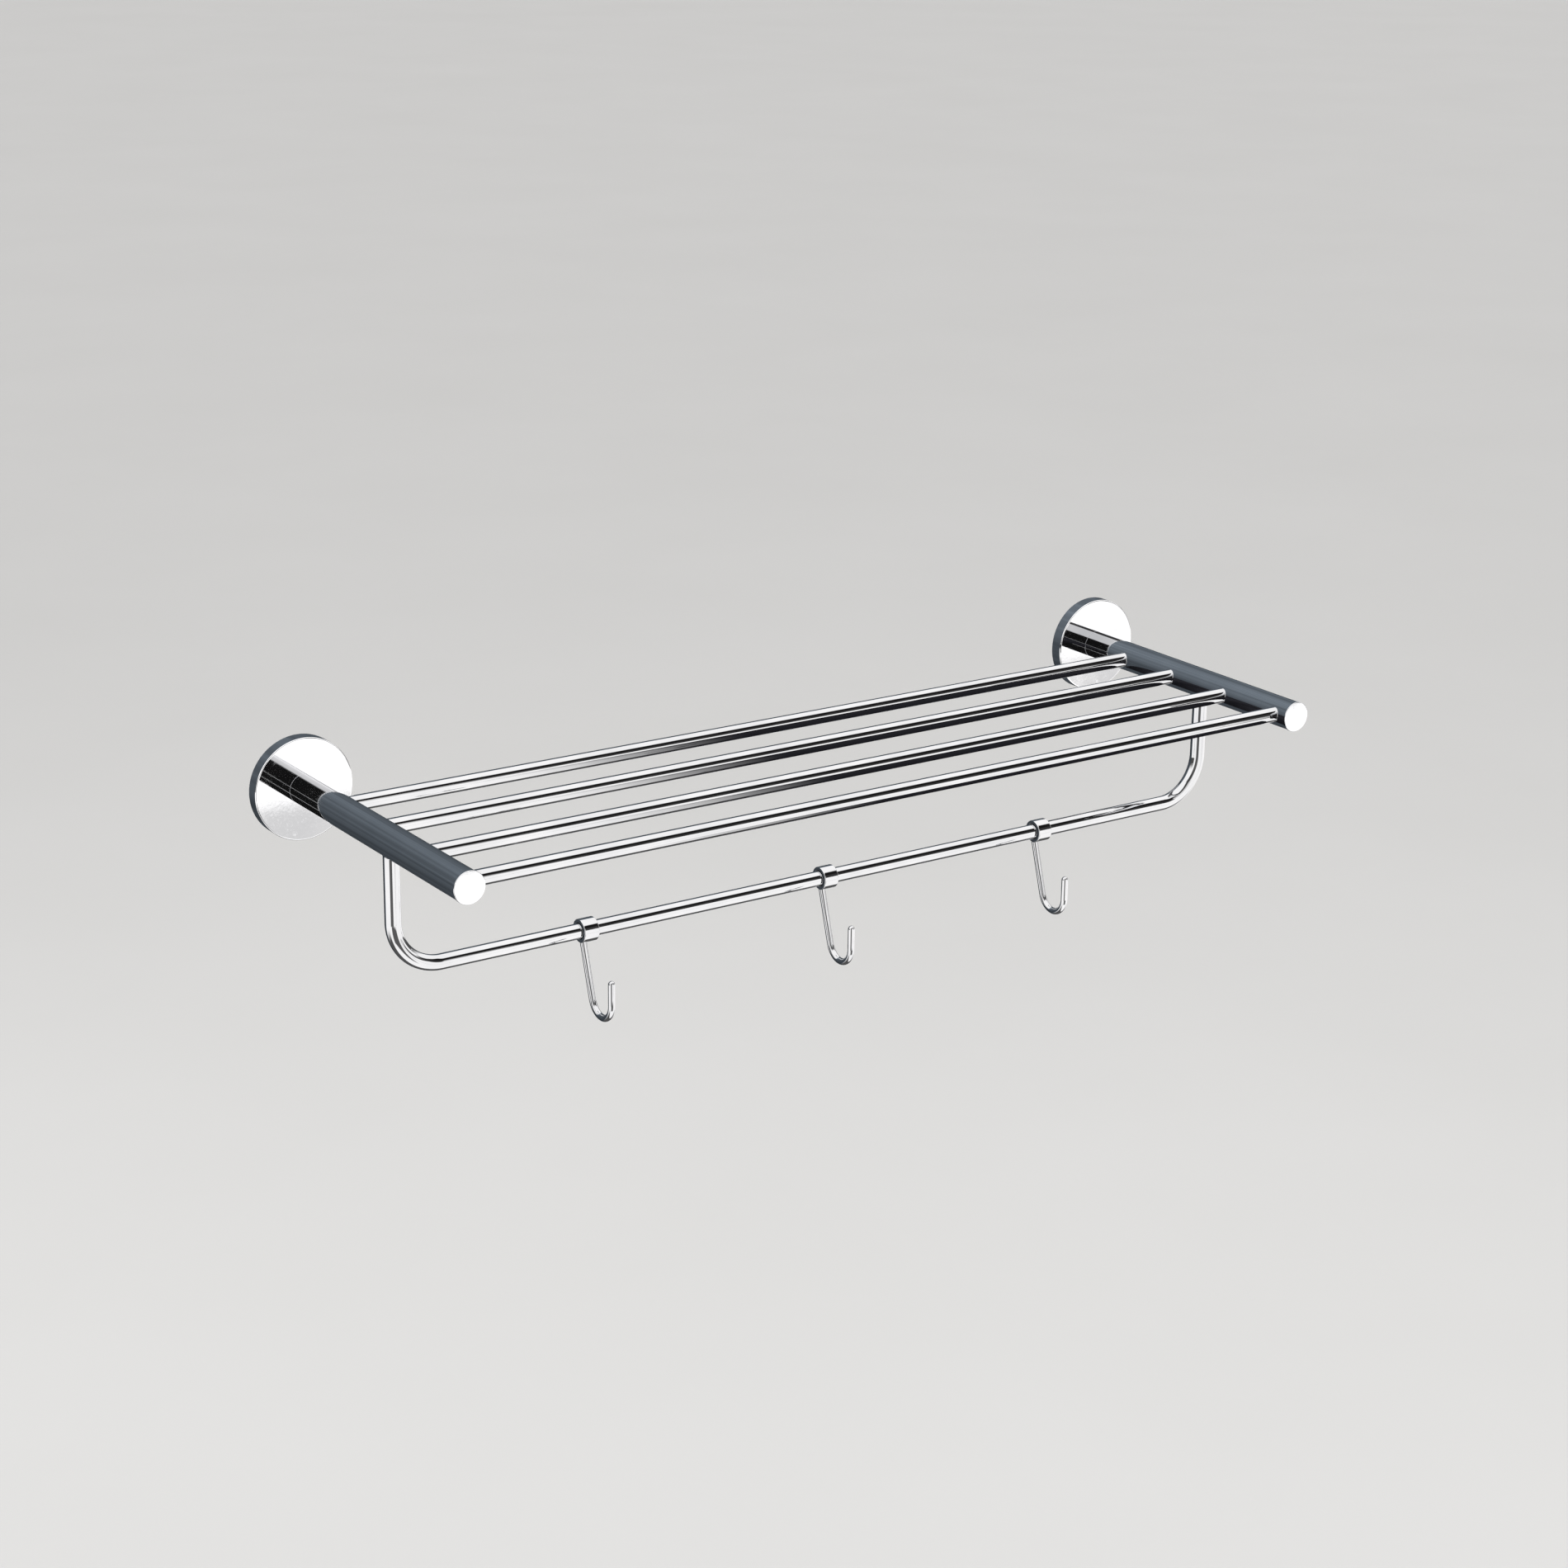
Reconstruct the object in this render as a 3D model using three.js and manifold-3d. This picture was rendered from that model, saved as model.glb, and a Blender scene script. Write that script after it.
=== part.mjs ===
// Wall-mounted chrome towel rack: four shelf rails between two round arms, a U-shaped towel bar
// hung under the arms, and three hooks that slide along that bar and turn on it.
//
// Millimetres, +Z up. X runs along the rack and the wall is the plane y = 0, with the rack in front
// of it towards -Y. The origin is on the wall, midway between the arms, at the height of their axes.
import * as THREE from "three";
import { mergeVertices } from "three/addons/utils/BufferGeometryUtils.js";
import Module from "manifold-3d";

const wasm = await Module();
wasm.setup();

// ---------------------------------------------------------------- driving dimensions

const GAP = 0.3; // between pieces that touch
const SPAN = 600; // between the axes of the two arms
const PROJECTION = 210; // wall to the front of the end caps

const FLANGE = { radius: 31.5, depth: 9, face: 2, rim: 2.5, edge: 0.8 };
const ARM = { radius: 9.5, wall: 1.2 };
const CAP = { radius: 9.8, thickness: 2, spigot: 4.2, edge: 0.5 };
const RAIL = { radius: 4.75, wall: 0.8, distances: [48, 96, 148, 198] }; // axes, from the wall
const BAR = { radius: 4.75, wall: 0.8, forward: 118, drop: 79, bend: 30 };
const SOCKETED = 4; // how far rails and bar legs reach past the axis of the arm that holds them

const BRACKET = { radius: 28.6, thickness: 6, eye: 8, groove: 1.6, screws: 27 };
const SET_SCREW = { radius: 2, point: 0.3, recess: 0.3, forward: 3.5, socket: 1.15 };
const ARM_PLUG = { length: 14 };
const ARM_SCREW = { radius: 3, head: 5, headHeight: 3.5, length: 15, socket: 2.3 };
const WALL_SCREW = { radius: 1.9, head: 3.7, cone: 2.1, length: 24, seat: 5.6 };
const WALL_PLUG = { radius: 3.5, length: 20, rib: 0.5, ribs: 5, slit: 1, slitFrom: 6 };

const HOOK = {
  stations: [-173, -1, 167], // where the three hooks rest along the bar
  lean: THREE.MathUtils.degToRad(17), // of the stem, away from the wall
  wire: 2.1, // radius
  root: 4, // the stem's line passes this far behind the foot of the ring
  stem: 36.4,
  bend: 11.2,
  tip: 13.4,
};
const RING = { radius: 7.25, length: 10, lip: 5.15, lipLength: 1, groove: 5.8, edge: 0.5 };
const LINER = { inner: 4.95, outer: 5.5, slit: 0.8 };

const SIDES = { flange: 40, arm: 28, tube: 16, ring: 24, screw: 12 };
const BEND_STEP = THREE.MathUtils.degToRad(11.25);

const armInner = ARM.radius - ARM.wall;
const armStart = FLANGE.depth + GAP;
const armEnd = PROJECTION - CAP.thickness - GAP;

// ---------------------------------------------------------------- geometry helpers

// Turns a profile of [radius, along] points about the Y axis. It is listed anticlockwise, with the
// radius to the right and along upwards, and it closes on itself or starts and ends on the axis.
function turned(profile, sides) {
  const points = profile.map(([radius, along]) => new THREE.Vector2(radius, along));
  if (profile[0][0] > 0 || profile.at(-1)[0] > 0) {
    points.push(points[0].clone());
  }
  return new THREE.LatheGeometry(points, sides);
}

function tube(outer, inner, from, to, sides) {
  return turned([[inner, from], [outer, from], [outer, to], [inner, to]], sides);
}

// A round cutting tool that starts at the origin and points along a direction.
function drill(radius, length, direction, sides = SIDES.tube) {
  const tool = new THREE.CylinderGeometry(radius, radius, length, sides);
  tool.translate(0, length / 2, 0);
  const turn = new THREE.Quaternion().setFromUnitVectors(new THREE.Vector3(0, 1, 0), direction);
  return tool.applyQuaternion(turn);
}

// A quarter-round corner of a profile, from one heading to the next.
function corner(radius, along, edge, from, steps = 2) {
  return Array.from({ length: steps + 1 }, (_, i) => {
    const angle = from + (i / steps) * (Math.PI / 2);
    return [radius + edge * Math.cos(angle), along + edge * Math.sin(angle)];
  });
}

// A path known at a list of places, so that a straight run needs no steps between its ends.
class StockPath extends THREE.Curve {
  constructor(places) {
    super();
    this.places = places;
  }

  place(t) {
    return this.places[Math.round(t * (this.places.length - 1))];
  }

  getUtoTmapping(u) {
    return u;
  }

  getPoint(t, target = new THREE.Vector3()) {
    return target.copy(this.place(t).point);
  }

  getTangent(t, target = new THREE.Vector3()) {
    return target.copy(this.place(t).tangent);
  }
}

// Bends straight stock as a bender does: each move is a straight run or a bend about the axis.
function bentPath(start, heading, axis, moves) {
  const point = start.clone();
  const tangent = heading.clone().normalize();
  const places = [{ point: point.clone(), tangent: tangent.clone() }];
  for (const { run = 0, bend = 0, radius = 0 } of moves) {
    const steps = Math.ceil(bend / BEND_STEP);
    point.addScaledVector(tangent, run);
    if (run > 0) {
      places.push({ point: point.clone(), tangent: tangent.clone() });
    }
    const spoke = tangent.clone().cross(axis).multiplyScalar(radius);
    const centre = point.clone().sub(spoke);
    for (let i = 0; i < steps; i += 1) {
      spoke.applyAxisAngle(axis, bend / steps);
      tangent.applyAxisAngle(axis, bend / steps);
      point.addVectors(centre, spoke);
      places.push({ point: point.clone(), tangent: tangent.clone() });
    }
  }
  return new StockPath(places);
}

// Round stock along a path, hollow if it has an inner radius.
function roundStock(path, outer, inner, sides) {
  const section = new THREE.Shape().absarc(0, 0, outer, 0, 2 * Math.PI);
  if (inner > 0) {
    section.holes.push(new THREE.Path().absarc(0, 0, inner, 0, 2 * Math.PI, true));
  }
  return new THREE.ExtrudeGeometry(section, {
    steps: path.places.length - 1,
    curveSegments: sides / 2,
    extrudePath: path,
  });
}

function toSolid(geometry) {
  const bare = geometry.clone();
  bare.deleteAttribute("normal");
  bare.deleteAttribute("uv");
  const merged = mergeVertices(bare);
  return new wasm.Manifold(
    new wasm.Mesh({
      numProp: 3,
      vertProperties: merged.attributes.position.array,
      triVerts: new Uint32Array(merged.index.array),
    }),
  );
}

function toGeometry(solid) {
  const mesh = solid.getMesh();
  const geometry = new THREE.BufferGeometry();
  geometry.setAttribute("position", new THREE.BufferAttribute(mesh.vertProperties, 3));
  geometry.setIndex(new THREE.BufferAttribute(mesh.triVerts, 1));
  geometry.computeVertexNormals();
  return geometry;
}

function cut(geometry, tools) {
  return toGeometry(tools.reduce((solid, tool) => solid.subtract(toSolid(tool)), toSolid(geometry)));
}

function join(geometry, other) {
  return toGeometry(toSolid(geometry).add(toSolid(other)));
}

// ---------------------------------------------------------------- materials

function chrome() {
  return new THREE.MeshStandardMaterial({ color: 0xd9dbde, metalness: 1, roughness: 0.07 });
}

function stainless() {
  return new THREE.MeshStandardMaterial({ color: 0xb9bbbd, metalness: 1, roughness: 0.3 });
}

function zinc() {
  return new THREE.MeshStandardMaterial({ color: 0x9fa2a5, metalness: 0.9, roughness: 0.45 });
}

function nylon(color) {
  return new THREE.MeshStandardMaterial({ color, metalness: 0, roughness: 0.55 });
}

function piece(name, geometry, material) {
  const mesh = new THREE.Mesh(geometry, material);
  mesh.name = name;
  return mesh;
}

// ---------------------------------------------------------------- directions

const X = new THREE.Vector3(1, 0, 0);
const DOWN = new THREE.Vector3(0, 0, -1);
const FORWARD_ALONG_Y = Math.PI; // turns +Y to -Y, about Z

// Stands a geometry that was made along +Y on the wall, so that along becomes the distance from it.
function outFromWall(geometry) {
  return geometry.rotateZ(FORWARD_ALONG_Y);
}

function alongX(geometry) {
  return geometry.rotateZ(-Math.PI / 2);
}

// ---------------------------------------------------------------- the arm and what holds it

// A cup that hides the bracket, with a hole for the arm's screw and one for the set screw.
function flange() {
  const { radius, depth, face, rim, edge } = FLANGE;
  const cup = turned(
    [
      [radius, 0],
      ...corner(radius - edge, depth - edge, edge, 0),
      [ARM_SCREW.radius + GAP, depth],
      [ARM_SCREW.radius + GAP, depth - face],
      [radius - rim, depth - face],
      [radius - rim, 0],
    ],
    SIDES.flange,
  );
  const setScrewHole = drill(SET_SCREW.radius + GAP, radius + 1, DOWN);
  setScrewHole.translate(0, -SET_SCREW.forward, 0);
  return cut(outFromWall(cup), [setScrewHole]);
}

// The tube of one arm, drilled for the rails on its inner side and for the towel bar underneath.
function arm(inward) {
  const stock = outFromWall(tube(ARM.radius, armInner, armStart, armEnd, SIDES.arm));
  const reach = ARM.radius + 1;
  const holes = RAIL.distances.map((distance) => {
    const hole = drill(RAIL.radius + GAP, reach, X.clone().multiplyScalar(inward));
    return hole.translate(0, -distance, 0);
  });
  const barHole = drill(BAR.radius + GAP, reach, DOWN).translate(0, -BAR.forward, 0);
  return cut(stock, [...holes, barHole]);
}

function endCap() {
  const { radius, thickness, spigot, edge } = CAP;
  const shoulder = PROJECTION - thickness;
  return outFromWall(
    turned(
      [
        [0, shoulder - spigot],
        [armInner - GAP, shoulder - spigot],
        [armInner - GAP, shoulder],
        [radius, shoulder],
        ...corner(radius - edge, PROJECTION - edge, edge, 0),
        [0, PROJECTION],
      ],
      SIDES.arm,
    ),
  );
}

// The tapped plug brazed into the wall end of the arm.
function armPlug() {
  const end = armStart + ARM_PLUG.length;
  return outFromWall(tube(armInner - GAP, ARM_SCREW.radius + GAP, armStart, end, SIDES.tube));
}

// Comes through the flange from behind and pulls the arm against it.
function armScrew() {
  const { radius, head, headHeight, length, socket } = ARM_SCREW;
  const underHead = FLANGE.depth - FLANGE.face - GAP;
  const top = underHead - headHeight;
  const body = turned(
    [
      [0, top],
      [head, top],
      [head, underHead],
      [radius, underHead],
      [radius, underHead + length - 0.5],
      [radius - 0.5, underHead + length],
      [0, underHead + length],
    ],
    SIDES.screw,
  );
  const hexagon = new THREE.CylinderGeometry(socket, socket, 4, 6).translate(0, top, 0);
  return outFromWall(cut(body, [hexagon]));
}

// The disc screwed to the wall: a grooved edge for the set screw and two countersunk holes.
function wallBracket() {
  const { radius, thickness, eye, groove, screws } = BRACKET;
  const disc = turned(
    [
      [eye, 0],
      [radius, 0],
      [radius, SET_SCREW.forward - groove],
      [radius - groove, SET_SCREW.forward],
      [radius, SET_SCREW.forward + groove],
      [radius, thickness],
      [eye, thickness],
    ],
    SIDES.flange,
  );
  const { radius: shank, head, cone, seat } = WALL_SCREW;
  const countersink = [
    [0, -1],
    [shank + GAP, -1],
    [shank + GAP, seat - cone],
    [head + GAP, seat],
    [head + GAP, thickness + 1],
    [0, thickness + 1],
  ];
  const holes = [-1, 1].map((end) => {
    return turned(countersink, SIDES.screw).translate(0, 0, (end * screws) / 2);
  });
  return outFromWall(cut(disc, holes));
}

// Screwed up through the flange's rim, with its point in the bracket's groove.
function setScrew() {
  const { radius, point, recess, forward, socket } = SET_SCREW;
  const from = BRACKET.radius - BRACKET.groove + point + Math.SQRT2 * GAP;
  const to = FLANGE.radius - recess;
  const body = turned(
    [[0, from], [point, from], [radius, from + radius - point], [radius, to], [0, to]],
    SIDES.screw,
  );
  const hexagon = new THREE.CylinderGeometry(socket, socket, 4, 6).translate(0, to, 0);
  return cut(body, [hexagon]).rotateX(-Math.PI / 2).translate(0, -forward, 0);
}

function wallScrew() {
  const { radius, head, cone, length, seat } = WALL_SCREW;
  const tip = seat - length;
  const body = turned(
    [
      [0, tip],
      [radius, tip + 2 * radius],
      [radius, seat - cone],
      [head, seat - GAP],
      [head, seat],
      [0, seat],
    ],
    SIDES.screw,
  );
  const slots = [
    new THREE.BoxGeometry(4, 2.8, 1),
    new THREE.BoxGeometry(1, 2.8, 4),
  ].map((slot) => slot.translate(0, seat, 0));
  return outFromWall(cut(body, slots));
}

// A ribbed wall plug, slit from its far end so that the screw can spread it.
function wallPlug() {
  const { radius, length, rib, ribs, slit, slitFrom } = WALL_PLUG;
  const bore = WALL_SCREW.radius + GAP;
  const pitch = (length - slitFrom) / ribs;
  const teeth = Array.from({ length: ribs }, (_, i) => {
    const start = slitFrom + i * pitch;
    return [
      [radius, start],
      [radius - rib, start + pitch - 0.5],
    ];
  }).flat();
  const body = turned(
    [[bore, GAP], [radius, GAP], ...teeth, [radius - rib, length], [bore, length]],
    SIDES.screw,
  );
  const opening = new THREE.BoxGeometry(slit, length, 3 * radius);
  opening.translate(0, slitFrom + length / 2, 0);
  return cut(body, [opening]);
}

// Everything that one arm brings with it; inward is +1 on the left side and -1 on the right.
function sideAssembly(side, inward) {
  const group = new THREE.Group();
  group.position.x = (-inward * SPAN) / 2;
  group.add(
    piece(`${side}_flange`, flange(), chrome()),
    piece(`${side}_arm`, arm(inward), chrome()),
    piece(`${side}_end_cap`, endCap(), chrome()),
    piece(`${side}_arm_plug`, armPlug(), zinc()),
    piece(`${side}_arm_screw`, armScrew(), stainless()),
    piece(`${side}_wall_bracket`, wallBracket(), zinc()),
    piece(`${side}_set_screw`, setScrew(), stainless()),
  );
  for (const [place, end] of [["upper", 1], ["lower", -1]]) {
    const screw = piece(`${side}_wall_screw_${place}`, wallScrew(), stainless());
    const plug = piece(`${side}_wall_plug_${place}`, wallPlug(), nylon(0xb8b4a8));
    for (const fixing of [screw, plug]) {
      fixing.position.z = (end * BRACKET.screws) / 2;
      group.add(fixing);
    }
  }
  return group;
}

// ---------------------------------------------------------------- rails and towel bar

function shelfRail(number, distance) {
  const half = SPAN / 2 + SOCKETED;
  const stock = tube(RAIL.radius, RAIL.radius - RAIL.wall, -half, half, SIDES.tube);
  const rail = piece(`shelf_rail_${number}`, alongX(stock), chrome());
  rail.position.y = -distance;
  return rail;
}

// A U of tube whose legs stand up into the arms.
function towelBar() {
  const leg = { run: SOCKETED + BAR.drop - BAR.bend };
  const quarter = { bend: Math.PI / 2, radius: BAR.bend };
  const path = bentPath(
    new THREE.Vector3(-SPAN / 2, 0, SOCKETED),
    DOWN,
    new THREE.Vector3(0, -1, 0),
    [leg, quarter, { run: SPAN - 2 * BAR.bend }, quarter, leg],
  );
  const stock = roundStock(path, BAR.radius, BAR.radius - BAR.wall, SIDES.tube);
  const bar = piece("towel_bar", stock, chrome());
  bar.position.y = -BAR.forward;
  return bar;
}

// ---------------------------------------------------------------- hooks

// The collar round the bar, grooved inside to keep its liner.
function hookRing() {
  const { radius, length, lip, lipLength, groove, edge } = RING;
  const half = length / 2;
  return alongX(
    turned(
      [
        [lip, -half],
        ...corner(radius - edge, edge - half, edge, -Math.PI / 2),
        ...corner(radius - edge, half - edge, edge, 0),
        [lip, half],
        [lip, half - lipLength],
        [groove, half - lipLength],
        [groove, lipLength - half],
        [lip, lipLength - half],
      ],
      SIDES.ring,
    ),
  );
}

// A split nylon sleeve between the ring and the bar.
function hookLiner() {
  const half = RING.length / 2 - RING.lipLength - GAP;
  const sleeve = alongX(tube(LINER.outer, LINER.inner, -half, half, SIDES.ring));
  const slit = new THREE.BoxGeometry(RING.length, LINER.slit, LINER.outer);
  slit.translate(0, 0, (LINER.inner + LINER.outer) / 2);
  return cut(sleeve, [slit]);
}

// The J of wire under the ring: a leaning stem, coped to the ring, and an upright round tip.
function hookWire() {
  const { lean, wire, root, stem, bend, tip } = HOOK;
  const heading = new THREE.Vector3(0, -Math.sin(lean), -Math.cos(lean));
  const start = new THREE.Vector3(0, root, -RING.radius).addScaledVector(heading, -wire);
  const path = bentPath(start, heading, X.clone().negate(), [
    { run: stem + wire },
    { bend: Math.PI - lean, radius: bend },
    { run: tip },
  ]);
  const stock = roundStock(path, wire, 0, SIDES.screw);
  const end = new THREE.SphereGeometry(wire, SIDES.screw, SIDES.screw / 2);
  end.rotateX(Math.PI / 2).translate(...path.places.at(-1).point);
  const ring = drill(RING.radius + GAP, RING.length, X, SIDES.ring);
  return cut(join(stock, end), [ring.translate(-RING.length / 2, 0, 0)]);
}

function hook(number, station) {
  const group = new THREE.Group();
  group.position.set(station, -BAR.forward, -BAR.drop);
  group.add(
    piece(`hook_${number}_ring`, hookRing(), chrome()),
    piece(`hook_${number}_liner`, hookLiner(), nylon(0x2a2b2d)),
    piece(`hook_${number}_wire`, hookWire(), chrome()),
  );
  return group;
}

// ---------------------------------------------------------------- the rack

const rack = new THREE.Group();
rack.add(sideAssembly("left", 1), sideAssembly("right", -1));
RAIL.distances.forEach((distance, i) => rack.add(shelfRail(i + 1, distance)));
rack.add(towelBar());
HOOK.stations.forEach((station, i) => rack.add(hook(i + 1, station)));

export default rack;
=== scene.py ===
"""Looks for the chrome towel rack: fine meshes for every CAD piece, their materials and a small studio.

Metres, +Z up. X runs along the rack, the wall would be the plane y = 0 and the rack stands out
towards -Y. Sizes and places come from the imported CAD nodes, so this file only adds what the CAD
leaves out: rounded edges, brazed joints, threads, castings' ribs and the surface of each material.
"""
import math

import bmesh
import bpy
from mathutils import Matrix, Vector


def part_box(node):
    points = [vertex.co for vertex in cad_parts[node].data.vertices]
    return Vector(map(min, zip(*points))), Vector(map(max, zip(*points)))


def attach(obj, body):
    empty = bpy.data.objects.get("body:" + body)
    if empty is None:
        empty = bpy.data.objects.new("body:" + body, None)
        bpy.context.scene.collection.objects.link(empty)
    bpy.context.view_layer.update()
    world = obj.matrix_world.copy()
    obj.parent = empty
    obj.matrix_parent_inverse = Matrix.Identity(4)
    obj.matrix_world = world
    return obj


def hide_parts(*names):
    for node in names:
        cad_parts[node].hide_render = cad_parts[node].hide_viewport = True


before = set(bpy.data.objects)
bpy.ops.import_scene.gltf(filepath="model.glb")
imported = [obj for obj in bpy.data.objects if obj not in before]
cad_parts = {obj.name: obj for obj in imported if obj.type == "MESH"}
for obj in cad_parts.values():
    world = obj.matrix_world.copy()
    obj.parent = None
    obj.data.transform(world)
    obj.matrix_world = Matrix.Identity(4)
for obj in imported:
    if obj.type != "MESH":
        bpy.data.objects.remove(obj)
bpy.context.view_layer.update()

MM = 0.001
X = Vector((1, 0, 0))
Y = Vector((0, 1, 0))
Z = Vector((0, 0, 1))
OUT = -Y  # away from the wall

SIDES = ("left", "right")
RAILS = ("shelf_rail_1", "shelf_rail_2", "shelf_rail_3", "shelf_rail_4")
HOOKS = ("hook_1", "hook_2", "hook_3")

TOUCH = 0.05 * MM  # left between visible pieces that are pressed together
DRILL_GAP = 0.12 * MM  # a drilled hole is this much larger in radius than what goes into it
ARM_WALL = 1.2 * MM
TUBE_WALL = 0.8 * MM  # of rails and towel bar
CAP_THICKNESS = 2 * MM

FILLET_STEPS = 6
BEND_STEP = math.radians(2.5)


# ---------------------------------------------------------------- reading the frame

def low(node):
    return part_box(node)[0]


def high(node):
    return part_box(node)[1]


def middle(node):
    return (low(node) + high(node)) / 2


def size(node):
    return high(node) - low(node)


# ---------------------------------------------------------------- mesh building

def shade(mesh):
    """Smooth shading, with edges of over 35 degrees kept sharp."""
    mesh.shade_smooth()
    mesh.set_sharp_from_angle(angle=math.radians(35))


def mesh_object(name, verts, faces):
    """A closed, smooth-shaded object with its faces pointing out."""
    mesh = bpy.data.meshes.new(name)
    mesh.from_pydata([tuple(v) for v in verts], [], faces)
    work = bmesh.new()
    work.from_mesh(mesh)
    bmesh.ops.remove_doubles(work, verts=work.verts, dist=1e-7)
    bmesh.ops.recalc_face_normals(work, faces=work.faces)
    work.to_mesh(mesh)
    work.free()
    shade(mesh)
    obj = bpy.data.objects.new(name, mesh)
    bpy.context.scene.collection.objects.link(obj)
    return obj


def filleted(corners):
    """Rounds the (radius, along, fillet) corners of an outline with arcs."""
    points = []
    count = len(corners)
    for i, (radius, along, fillet) in enumerate(corners):
        here = Vector((radius, along))
        if fillet == 0:
            points.append(here)
            continue
        to_last = (Vector(corners[i - 1][:2]) - here).normalized()
        to_next = (Vector(corners[(i + 1) % count][:2]) - here).normalized()
        half = to_last.angle(to_next) / 2
        centre = here + (to_last + to_next).normalized() * (fillet / math.sin(half))
        start = here + to_last * (fillet / math.tan(half)) - centre
        end = here + to_next * (fillet / math.tan(half)) - centre
        for step in range(FILLET_STEPS + 1):
            points.append(centre + start.slerp(end, step / FILLET_STEPS).normalized() * fillet)
    return points


def axis_frame(origin, along):
    """A matrix whose Z axis is the given direction and whose origin is the given point."""
    turn = along.to_track_quat("Z", "Y").to_matrix().to_4x4()
    return Matrix.Translation(origin) @ turn


def on_circle(place, radius, angle, height):
    return place @ Vector((radius * math.cos(angle), radius * math.sin(angle), height))


def turned(name, corners, origin, along, segments):
    """Turns an outline of (radius, along, fillet) corners about an axis.

    The outline closes on itself, or starts and ends on the axis.
    """
    outline = filleted(corners)
    place = axis_frame(origin, along)
    on_axis = outline[0].x == 0
    verts = []
    for k in range(segments):
        angle = 2 * math.pi * k / segments
        verts += [on_circle(place, radius, angle, height) for radius, height in outline]
    count = len(outline)
    faces = []
    for k in range(segments):
        after = (k + 1) % segments
        for i in range(count - 1 if on_axis else count):
            j = (i + 1) % count
            faces.append((k * count + i, after * count + i, after * count + j, k * count + j))
    return mesh_object(name, verts, faces)


def tube_corners(outer, inner, start, end, edge):
    return [(inner, start, edge), (outer, start, edge), (outer, end, edge), (inner, end, edge)]


def bent_stock(start, heading, axis, moves):
    """The (point, heading) places of stock bent about one axis.

    A move is ("run", length) or ("bend", angle, radius).
    """
    point, heading = start.copy(), heading.normalized()
    places = [(point.copy(), heading.copy())]
    for kind, amount, *rest in moves:
        if kind == "run":
            point = point + heading * amount
            places.append((point.copy(), heading.copy()))
            continue
        steps = math.ceil(amount / BEND_STEP)
        turn = Matrix.Rotation(amount / steps, 3, axis)
        spoke = heading.cross(axis) * rest[0]
        centre = point - spoke
        for _ in range(steps):
            spoke = turn @ spoke
            heading = turn @ heading
            point = centre + spoke
            places.append((point.copy(), heading.copy()))
    return places


def swept_rings(places, axis, radius, segments):
    """Round sections along flat-bent stock, one list of points for each place."""
    rings = []
    for point, heading in places:
        side = heading.cross(axis)
        angles = [2 * math.pi * k / segments for k in range(segments)]
        rings.append([point + (side * math.cos(a) + axis * math.sin(a)) * radius for a in angles])
    return rings


def joined_rings(rings, closed=False):
    """Faces between successive rings of equal length, as indices into the rings laid end to end."""
    count = len(rings[0])
    faces = []
    for r in range(len(rings) if closed else len(rings) - 1):
        after = (r + 1) % len(rings)
        for k in range(count):
            n = (k + 1) % count
            faces.append((r * count + k, r * count + n, after * count + n, after * count + k))
    return faces


def looped_object(name, rings):
    """Rings joined to each other and the last to the first, as a tube's outside and inside are."""
    verts = [v for ring in rings for v in ring]
    return mesh_object(name, verts, joined_rings(rings, closed=True))


def capped_object(name, rings, first_point, last_point):
    """Rings joined in a row, with a fan of faces to a point at each end."""
    count = len(rings[0])
    verts = [v for ring in rings for v in ring] + [first_point, last_point]
    faces = joined_rings(rings)
    last_ring = (len(rings) - 1) * count
    first, last = len(verts) - 2, len(verts) - 1
    for k in range(count):
        n = (k + 1) % count
        faces += [(first, n, k), (last, last_ring + k, last_ring + n)]
    return mesh_object(name, verts, faces)


def cut(obj, tools):
    """Takes each tool's shape out of the object and removes the tools."""
    for tool in tools:
        modifier = obj.modifiers.new("cut", "BOOLEAN")
        modifier.operation = "DIFFERENCE"
        modifier.solver = "EXACT"
        modifier.object = tool
    bpy.context.view_layer.update()
    graph = bpy.context.evaluated_depsgraph_get()
    done = bpy.data.meshes.new_from_object(obj.evaluated_get(graph))
    obj.modifiers.clear()
    obj.data = done
    for tool in tools:
        bpy.data.objects.remove(tool)
    shade(done)


def rod_tool(origin, along, radius, length, segments=64):
    corners = [(0, 0, 0), (radius, 0, 0), (radius, length, 0), (0, length, 0)]
    return turned("tool", corners, origin, along, segments)


def box_tool(centre, width, depth, height):
    half = Vector((width, depth, height)) / 2
    signs = [(x, y, z) for x in (-1, 1) for y in (-1, 1) for z in (-1, 1)]
    verts = [centre + Vector((x * half.x, y * half.y, z * half.z)) for x, y, z in signs]
    faces = [(0, 1, 3, 2), (4, 6, 7, 5), (0, 4, 5, 1), (2, 3, 7, 6), (0, 2, 6, 4), (1, 5, 7, 3)]
    return mesh_object("tool", verts, faces)


def hexagon_tool(centre, along, across_flats, depth):
    radius = across_flats / math.sqrt(3)
    corners = [(0, -depth, 0), (radius, -depth, 0), (radius, depth, 0), (0, depth, 0)]
    return turned("tool", corners, centre, along, 6)


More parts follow.
